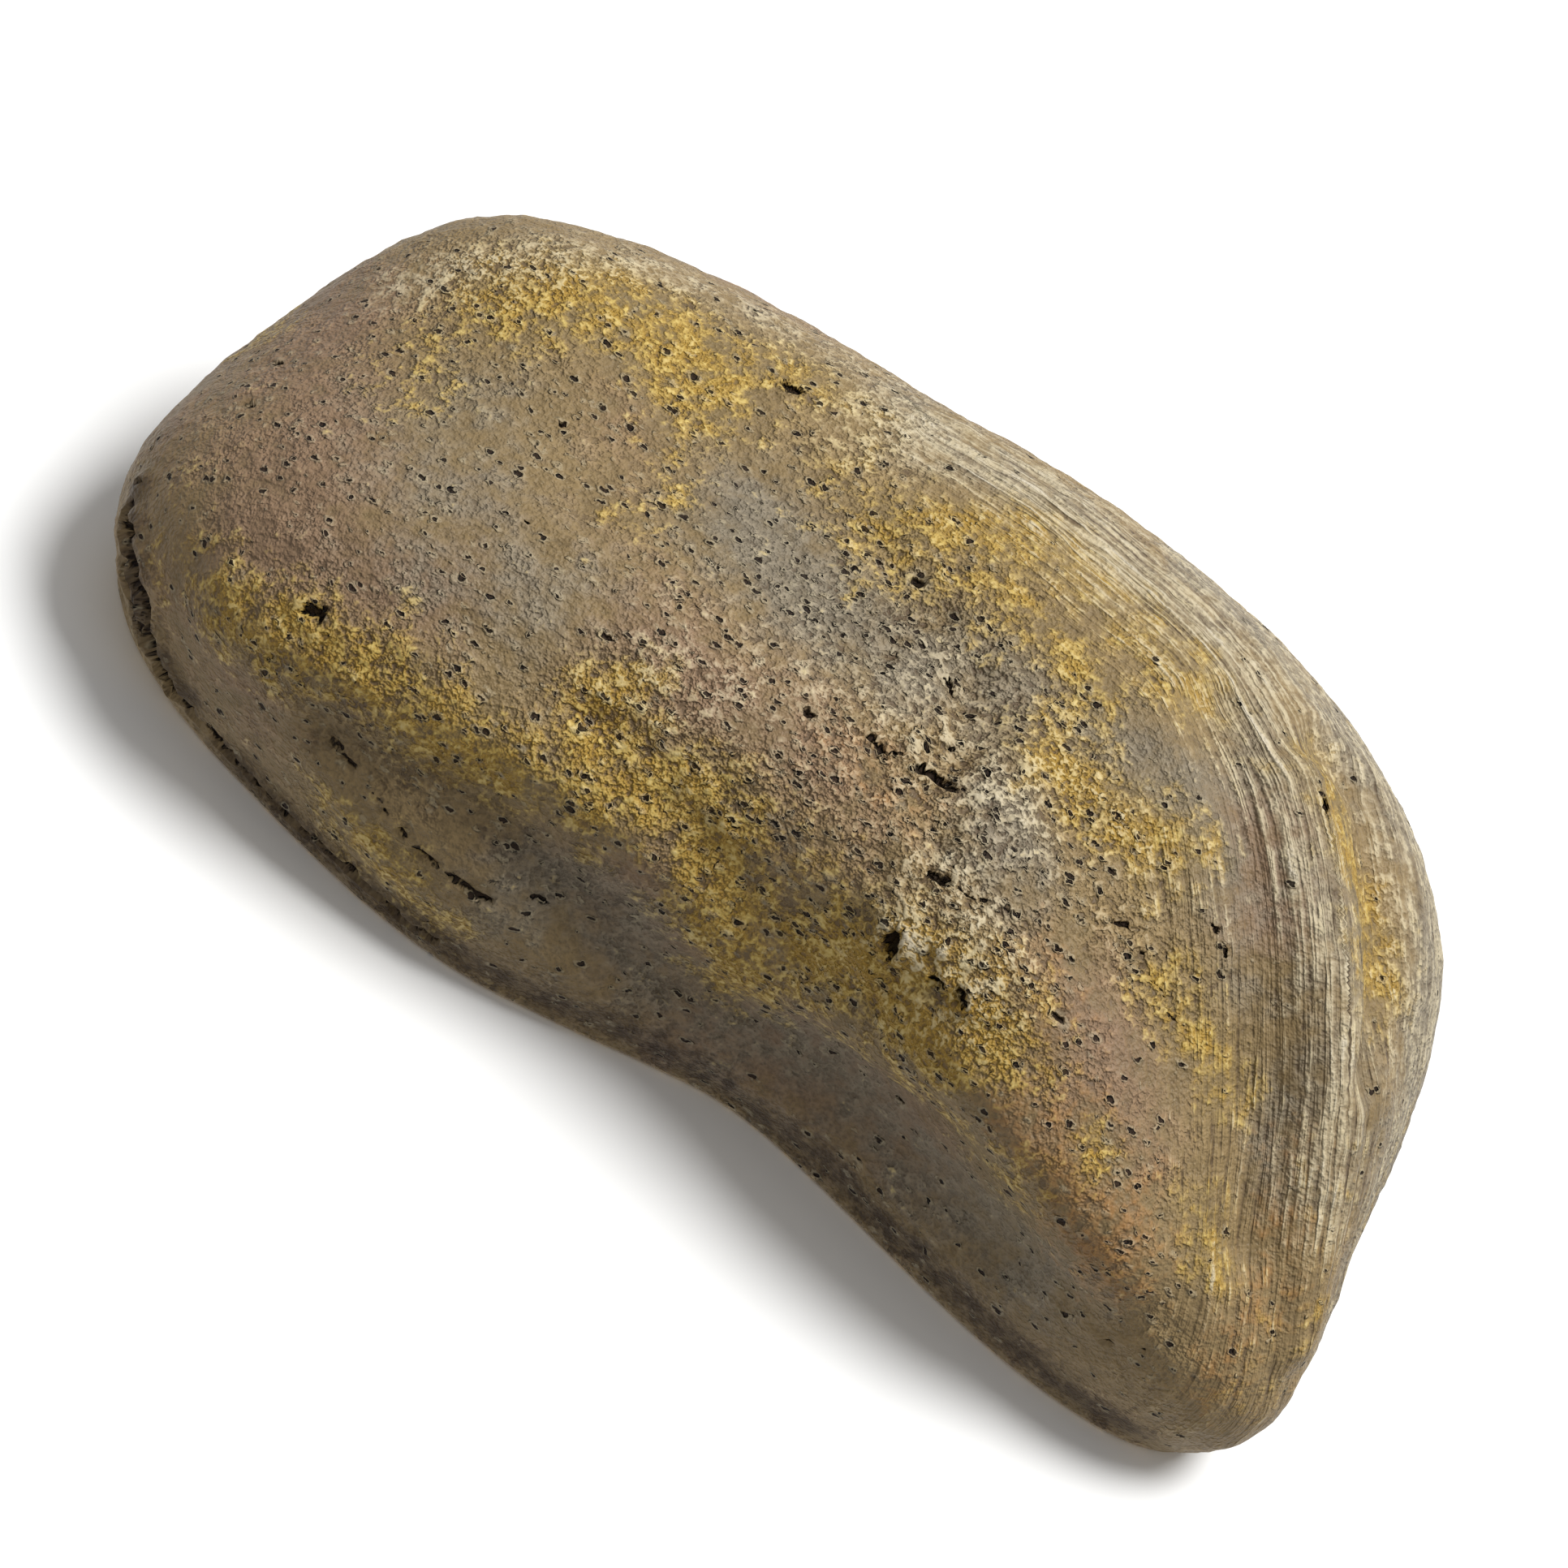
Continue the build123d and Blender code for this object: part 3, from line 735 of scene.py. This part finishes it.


# Cast stone stippled and washed with matt acrylics: it gives the eye crumbs of ochre and cream on a
# brown-grey ground, with dark in the lows; the pale on the highs and the dark in the lows, holes and round
# the foot are partly painted light and shade.
stonePaint = {
    "tones": {
        "taupe": "927c57", "mauve": "8f755c", "grey": "877c69", "rust": "9c7140", "olive": "937d4a",
        "ochre": "ae8a3a", "sulphur": "dabf6e", "sandAndHighlight": "d3c5a4", "chalkAndHighlight": "d2c8b4",
        "lowWashAndShade": "5c4a37", "umberAndShade": "33251a", "holeShade": "20140f", "rimBrown": "6b5433",
    },
    # mm, with the texture's detail and roughness; the real grain is finer, and is drawn coarse enough to show
    "textures": {
        "broad": (14.0, 2.0, 0.5),
        "patch": (4.5, 3.0, 0.6),
        "mottle": (1.9, 3.0, 0.6),
        "chip": (0.85, 2.0, 0.6),
        "grain": (0.34, 1.0, 0.5),
    },
    "lineSize": 0.55,       # mm
    # The cast is smooth in places and crumbly in others.
    "crumbly": ({"patch": 0.6, "mottle": 0.45, "crumple": 0.7, "striae": 0.4, "ochre": 0.35, "pitting": 0.2,
                 "pale": 0.2}, -0.2, 0.8),
    # Coats as they are laid on: tone, what each follows, the sums where it starts and is full, and the
    # most of it that lies there.
    "ground": [
        ("mauve", {"mauve": 0.9, "broad": 0.4, "patch": 0.2, "mottle": 0.3}, -0.05, 0.85, 1.0),
        ("grey", {"grey": 0.9, "patch": 0.35, "mottle": 0.3}, 0.2, 1.0, 1.0),
        ("rust", {"rust": 0.9, "mottle": 0.4, "chip": 0.3}, 0.35, 1.15, 0.8),
        ("olive", {"ochre": 1.0, "patch": 0.35, "mottle": 0.4}, 0.15, 1.05, 0.6),
    ],
    # The ground is made lighter on the tops of the fine crumbs and lines and darker between them: painted
    # light and shade of relief finer than the mesh, with random tone.
    "shading": ({"crumbly": 0.08, "mottle": 0.14, "patch": 0.12, "grain": 0.07, "chip": 0.06,
                 "crumbHeight": 0.36, "line": 0.3, "pale": 0.24}, 0.92),
    "coats": [
        ("crumbs", {"ochre": 1.0, "patch": 0.35, "mottle": 0.55, "speckle": 0.65, "line": 0.5},
         0.41, 1.21, 0.88),
        # Sand and chalk gather on the highs of the relief and lines: dry-brushed paint, and also painted
        # highlight on relief finer than the mesh.
        ("sandAndHighlight", {"pale": 0.8, "crumbHeight": 0.85, "mottle": 0.2, "line": 1.1, "speckle": 0.5,
                  "raised": 0.3}, 0.32, 1.22, 0.75),
        ("chalkAndHighlight", {"pale": 0.8, "crumbHeight": 0.55, "patch": 0.3, "speckle": 0.5, "line": 0.8,
                   "raised": 0.3}, 0.95, 1.55, 0.75),
        # Dark in the lows of the relief and lines: partly a wash, partly painted shade of relief finer than
        # the mesh.
        ("lowWashAndShade", {"raised": -0.4, "crumbHeight": -1.3, "line": -1.1, "speckle": -0.2, "mottle": -0.2},
         0.26, 1.16, 0.8),
        # Umber where the dark strokes lie: painted shade under the front ledge and round the foot, with some
        # dark paint.
        ("umberAndShade", {"dark": 1.0, "mottle": 0.25, "crumb": -0.15}, 0.35, 1.25, 0.9),
        # Pale rims round the holes: painted highlight on their raised lips.
        ("sandAndHighlight", {"lip": 1.0}, None, None, 0.28),
        # Dark inside the holes and cracks: painted shade of their depth.
        ("holeShade", {"hollow": 1.0}, 0.1, 0.7, 0.94),
        ("rimTone", {"rim": 1.0, "mottle": 0.15}, 0.3, 0.7, 1.0),
    ],
    # for what is finer than the mesh, in mm
    "crumbHeight": 0.85, "crumbRelief": {"line": 0.22, "mottle": 0.12, "grain": 0.03, "crumbHeight": 0.3},
    "holeHeight": 0.45, "holeRelief": {"lip": 0.3, "hollow": -1.0},
    "roughness": 0.5, "gloss": {"mottle": 0.05, "hollow": 0.35},
}


def makeStoneMaterial():
    material, tree = newMaterial("paintedCastStone")
    paint = stonePaint
    rest = addNode(tree, "ShaderNodeAttribute", attribute_name="rest").outputs["Vector"]
    fields = {
        name: addNode(tree, "ShaderNodeAttribute", attribute_name=name).outputs["Fac"]
        for name in [*paintStrokes, "raised", "rim", "crackGap", "ridgeAcross", "ridgeAlong"]
    }

    def total(weights, offset=0.0):
        return weightedSum(tree, [(fields[name], weight) for name, weight in weights.items()], offset)

    def spread(weights, start, full, most=1.0):
        # 0 up to the start, and eased up to the most where it is full
        return addNode(tree, "ShaderNodeMapRange", {
            "Value": total(weights), "From Min": start, "From Max": full, "To Max": most},
            interpolation_type="SMOOTHSTEP")

    # textures of about -1 to 1, so that their weights compare
    for name, (size, detail, roughness) in paint["textures"].items():
        wave = addNode(tree, "ShaderNodeTexNoise", {
            "Vector": rest, "Scale": 1 / (size * mm), "Detail": detail, "Roughness": roughness})
        fields[name] = addNode(tree, "ShaderNodeMath", [wave, 4.0, -2.0], operation="MULTIPLY_ADD")
    # lines that follow the right ridge, broken here and there
    lineWave = addNode(tree, "ShaderNodeTexNoise", {
        "Vector": ridgeCoordinates(tree, fields["ridgeAcross"], fields["ridgeAlong"]),
        "Scale": 1 / paint["lineSize"], "Detail": 2.0, "Roughness": 0.65, "Distortion": 0.35})
    lineLevel = addNode(tree, "ShaderNodeMath", [lineWave, 5.0, -2.5], operation="MULTIPLY_ADD")
    lined = addNode(tree, "ShaderNodeMath", [total({"patch": 0.3, "mottle": 0.35}, 0.85), fields["striae"]],
                    operation="MULTIPLY")
    fields["line"] = addNode(tree, "ShaderNodeMath", [lineLevel, lined], operation="MULTIPLY")
    # crumbs with flat tops, fewer where the lines are
    plain = total({"striae": -0.7}, 1.0)
    fields["speckle"] = addNode(tree, "ShaderNodeMath", [total({"chip": 0.5, "grain": 0.35}), plain],
                                operation="MULTIPLY")
    fields["crumb"] = total({"chip": 0.7, "grain": 0.5})
    fields["crumbly"] = spread(*paint["crumbly"])
    flatTopped = addNode(tree, "ShaderNodeMath", [spread({"crumb": 1.0}, -0.75, 0.4), 0.68],
                         operation="SUBTRACT")
    crumbShare = addNode(tree, "ShaderNodeMath", [total({"crumbly": 0.75}, 0.25), plain],
                         operation="MULTIPLY")
    fields["crumbHeight"] = addNode(tree, "ShaderNodeMath", [flatTopped, crumbShare], operation="MULTIPLY")
    # holes and cracks
    pinhole, pinholeLip = holePattern(tree, rest, fields["pitting"], pinholes)
    crater, craterLip = holePattern(tree, rest, fields["pitting"], craters)
    crack = spread({"crackGap": 1.0, "chip": 0.35, "grain": 0.2}, *crackForm["paint"])
    hole = addNode(tree, "ShaderNodeMath", [pinhole, crater], operation="MAXIMUM")
    fields["hollow"] = addNode(tree, "ShaderNodeMath", [hole, crack], operation="MAXIMUM")
    fields["lip"] = addNode(tree, "ShaderNodeMath", [pinholeLip, craterLip], operation="MAXIMUM")

    tones = {name: colour(code) for name, code in paint["tones"].items()}
    mixes = {
        "crumbs": ("ochre", "sulphur", spread({"crumb": 1.0}, -0.2, 0.9)),
        "rimTone": ("rimBrown", "ochre", spread({"chip": 0.5, "mottle": 0.6, "patch": 0.4}, -0.2, 0.9, 0.65)),
    }
    for name, (one, two, share) in mixes.items():
        tones[name] = addNode(tree, "ShaderNodeMix", {0: share, 6: tones[one], 7: tones[two]},
                              data_type="RGBA").outputs[2]

    def paintOver(surface, coats):
        for tone, weights, start, full, most in coats:
            if start is None:
                share = addNode(tree, "ShaderNodeMath", [total(weights), most], operation="MULTIPLY")
            else:
                share = spread(weights, start, full, most)
            surface = addNode(tree, "ShaderNodeMix", {0: share, 6: surface, 7: tones[tone]},
                              data_type="RGBA").outputs[2]
        return surface

    surface = paintOver(tones["taupe"], paint["ground"])
    surface = addNode(tree, "ShaderNodeMix", {0: 1.0, 6: surface, 7: total(*paint["shading"])},
                      data_type="RGBA", blend_type="MULTIPLY").outputs[2]
    surface = paintOver(surface, paint["coats"])
    crumbBump = addNode(tree, "ShaderNodeBump", {
        "Strength": 1.0, "Distance": paint["crumbHeight"] * mm, "Height": total(paint["crumbRelief"])})
    holeBump = addNode(tree, "ShaderNodeBump", {
        "Strength": 1.0, "Distance": paint["holeHeight"] * mm, "Height": total(paint["holeRelief"]),
        "Normal": crumbBump})
    shader = addNode(tree, "ShaderNodeBsdfPrincipled", {
        "Base Color": surface, "Roughness": total(paint["gloss"], paint["roughness"]), "IOR": 1.45,
        "Specular IOR Level": 0.22, "Normal": holeBump})
    addNode(tree, "ShaderNodeOutputMaterial", {"Surface": shader})
    return material


def finishSkin(skin, material):
    tree = makeReliefTree()
    modifier = skin.modifiers.new("relief", "NODES")
    modifier.node_group = tree
    for item in tree.interface.items_tree:
        if item.in_out == "INPUT" and item.name in reliefSizes:
            modifier[item.identifier] = reliefSizes[item.name]
        if item.in_out == "INPUT" and item.name == "Material":
            modifier[item.identifier] = material
    graph = bpy.context.evaluated_depsgraph_get()
    mesh = bpy.data.meshes.new_from_object(skin.evaluated_get(graph))
    skin.modifiers.remove(modifier)
    skin.data = mesh
    mesh.name = "rockSkin"


skin = makeSkinObject()
finishSkin(skin, makeStoneMaterial())
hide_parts("rock_shell")
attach(skin, "rock")
print("rock skin done:", len(skin.data.polygons), "faces")


# Resin filled with stone powder, poured and levelled: matt and cloudy, with small air bubbles.
backfill = {
    "slate": "858884", "cream": "c9be9f", "dun": "9a917a", "cavity": "5b4f42", "holeShade": "231c15",
    "cloudSize": 17.0, "creamEdge": (0.42, 0.6),    # mm, and levels of the cloud
    "gritSize": 0.6, "gritHeight": 0.06,            # mm
    "bubbleSpacing": 1.6, "bubbleRadius": 0.25, "bubbleDepth": 0.2,
    "cavityFrom": (0.2, 1.5),                       # mm over the base, where the tone turns to the cavity's
    "roughness": 0.62,
}


def makeBackfillMaterial():
    material, tree = newMaterial("castResinBackfill")
    sizes = backfill
    place = addNode(tree, "ShaderNodeTexCoord").outputs["Object"]
    cloud = addNode(tree, "ShaderNodeTexNoise", {
        "Vector": place, "Scale": 1 / (sizes["cloudSize"] * mm), "Detail": 2.0, "Roughness": 0.5})
    grit = addNode(tree, "ShaderNodeTexNoise", {
        "Vector": place, "Scale": 1 / (sizes["gritSize"] * mm), "Detail": 3.0, "Roughness": 0.6})
    height = addNode(tree, "ShaderNodeSeparateXYZ", [place]).outputs["Z"]
    cells = addNode(tree, "ShaderNodeTexVoronoi", {
        "Vector": place, "Scale": 1 / (sizes["bubbleSpacing"] * mm)})
    bubbleEdge = sizes["bubbleRadius"] / sizes["bubbleSpacing"]
    low, high = [level * mm for level in sizes["cavityFrom"]]
    # what each tone follows, where it starts and is full, and the most of it; the last is the bubbles'
    layers = {
        "cream": (cloud, *sizes["creamEdge"], 1.0),
        "dun": (grit, 0.35, 0.7, 0.5),
        "cavity": (height, low, high, 1.0),
        # The dark dot in each air bubble is painted shade inside it.
        "holeShade": (cells.outputs["Distance"], bubbleEdge, 0.06, 1.0),
    }
    surface = colour(sizes["slate"])
    for tone, (source, start, full, most) in layers.items():
        share = addNode(tree, "ShaderNodeMapRange", {
            "Value": source, "From Min": start, "From Max": full, "To Max": most},
            interpolation_type="SMOOTHSTEP")
        surface = addNode(tree, "ShaderNodeMix", {0: share, 6: surface, 7: colour(sizes[tone])},
                          data_type="RGBA").outputs[2]
    gritBump = addNode(tree, "ShaderNodeBump", {"Distance": sizes["gritHeight"] * mm, "Height": grit})
    bubbleBump = addNode(tree, "ShaderNodeBump", {
        "Distance": sizes["bubbleDepth"] * mm, "Height": share, "Normal": gritBump}, invert=True)
    shader = addNode(tree, "ShaderNodeBsdfPrincipled", {
        "Base Color": surface, "Roughness": sizes["roughness"], "IOR": 1.5, "Normal": bubbleBump})
    addNode(tree, "ShaderNodeOutputMaterial", {"Surface": shader})
    return material


# Injection-moulded polypropylene and polyethylene, off-white: a spark-eroded skin gives a satin sheen.
mouldings = {
    "cover_plate": {
        "material": "mouldedPolypropylene", "tone": "d5d7d2", "shadow": "c3c5bf", "roughness": 0.42},
    "pull_tab": {
        "material": "flexiblePolyethylene", "tone": "e2e3e0", "shadow": "d0d2cd", "roughness": 0.36},
}
mouldedSkin = {
    "flowSize": 14.0,                           # mm
    "sparkSize": 0.35, "sparkHeight": 0.015,    # mm; the real skin is finer, and is drawn coarser to show
    "glossSpread": (-0.06, 0.08),
}


def makeMouldedMaterial(sizes):
    material, tree = newMaterial(sizes["material"])
    place = addNode(tree, "ShaderNodeTexCoord").outputs["Object"]
    flow = addNode(tree, "ShaderNodeTexNoise", {
        "Vector": place, "Scale": 1 / (mouldedSkin["flowSize"] * mm), "Detail": 3.0, "Roughness": 0.5})
    spark = addNode(tree, "ShaderNodeTexNoise", {
        "Vector": place, "Scale": 1 / (mouldedSkin["sparkSize"] * mm), "Detail": 2.0, "Roughness": 0.6})
    share = addNode(tree, "ShaderNodeMapRange", {"Value": flow, "From Min": 0.35, "From Max": 0.7})
    surface = addNode(tree, "ShaderNodeMix", {
        0: share, 6: colour(sizes["tone"]), 7: colour(sizes["shadow"])}, data_type="RGBA").outputs[2]
    least, most = [sizes["roughness"] + step for step in mouldedSkin["glossSpread"]]
    gloss = addNode(tree, "ShaderNodeMapRange", {"Value": spark, "To Min": least, "To Max": most})
    bump = addNode(tree, "ShaderNodeBump", {"Distance": mouldedSkin["sparkHeight"] * mm, "Height": spark})
    shader = addNode(tree, "ShaderNodeBsdfPrincipled", {
        "Base Color": surface, "Roughness": gloss, "IOR": 1.49, "Normal": bump})
    addNode(tree, "ShaderNodeOutputMaterial", {"Surface": shader})
    return material


def dress(name, material):
    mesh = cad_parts[name].data
    mesh.materials.clear()
    mesh.materials.append(material)


dress("base_infill", makeBackfillMaterial())
for name, sizes in mouldings.items():
    dress(name, makeMouldedMaterial(sizes))
print("backfill, cover and tab done")


# Pale floor, one soft lamp from above and a plain pale world.
studio = {
    "floor": "f6f6f5",
    "floorHalf": 3.0,       # m
    "floorLevel": -0.02,    # mm, so that it doesn't coincide with the rock's base
    "keyFrom": (0.3, 0.16, 0.94), "keyStrength": 3.1, "keySpread": 28.0,     # degrees
    "fillAbove": 0.42, "fillBelow": 0.17,
    "floorBounce": 1.2,     # light that the pale floor throws straight up
}


def seenRays(tree):
    # the rays' own kinds, and 1 where something is seen directly or mirrored
    rays = addNode(tree, "ShaderNodeLightPath").outputs
    seen = addNode(tree, "ShaderNodeMath", [rays["Is Camera Ray"], rays["Is Glossy Ray"]],
                   operation="MAXIMUM")
    return rays, seen


def makeFloor():
    side = studio["floorHalf"]
    level = studio["floorLevel"] * mm
    corners = [(-side, -side, level), (side, -side, level), (side, side, level), (-side, side, level)]
    mesh = bpy.data.meshes.new("floor")
    mesh.from_pydata(corners, [], [(0, 1, 2, 3)])
    floor = bpy.data.objects.new("floor", mesh)
    bpy.context.scene.collection.objects.link(floor)
    material, tree = newMaterial("palePaper")
    # seen from above only, and clear to the light, so that the rock's underside can be looked at from below
    seen = seenRays(tree)[1]
    above = addNode(tree, "ShaderNodeMath", [
        1.0, addNode(tree, "ShaderNodeNewGeometry").outputs["Backfacing"]], operation="SUBTRACT")
    share = addNode(tree, "ShaderNodeMath", [seen, above], operation="MULTIPLY")
    paper = addNode(tree, "ShaderNodeBsdfDiffuse", {"Color": colour(studio["floor"])})
    clear = addNode(tree, "ShaderNodeBsdfTransparent")
    shader = addNode(tree, "ShaderNodeMixShader", [share, clear, paper])
    addNode(tree, "ShaderNodeOutputMaterial", {"Surface": shader})
    mesh.materials.append(material)


def makeLights():
    data = bpy.data.lights.new("key", "SUN")
    data.energy = studio["keyStrength"]
    data.angle = radians(studio["keySpread"])
    key = bpy.data.objects.new("key", data)
    key.rotation_mode = "QUATERNION"
    key.rotation_quaternion = Vector(studio["keyFrom"]).to_track_quat("Z", "Y")
    bpy.context.scene.collection.objects.link(key)
    world = bpy.data.worlds.new("studio")
    world.use_nodes = True
    bpy.context.scene.world = world
    tree = world.node_tree
    tree.nodes.clear()
    rays, seen = seenRays(tree)
    seen = addNode(tree, "ShaderNodeMath", [seen, rays["Is Transmission Ray"]], operation="MAXIMUM")
    way = addNode(tree, "ShaderNodeSeparateXYZ", [addNode(tree, "ShaderNodeTexCoord").outputs["Generated"]])
    fill = addNode(tree, "ShaderNodeMapRange", {
        "Value": way.outputs["Z"], "From Min": -0.2, "From Max": 0.3,
        "To Min": studio["fillBelow"], "To Max": studio["fillAbove"]})
    bounce = addNode(tree, "ShaderNodeMapRange", {
        "Value": way.outputs["Z"], "From Min": -0.6, "From Max": -1.0, "To Max": studio["floorBounce"]})
    fill = addNode(tree, "ShaderNodeMath", [fill, bounce], operation="ADD")
    strength = addNode(tree, "ShaderNodeMix", {0: seen, 2: fill, 3: 1.0})
    background = addNode(tree, "ShaderNodeBackground", {"Color": (1, 1, 1, 1), "Strength": strength})
    addNode(tree, "ShaderNodeOutputWorld", {"Surface": background})


makeFloor()
makeLights()
bpy.context.scene.view_settings.view_transform = "Standard"
print("floor and light done")
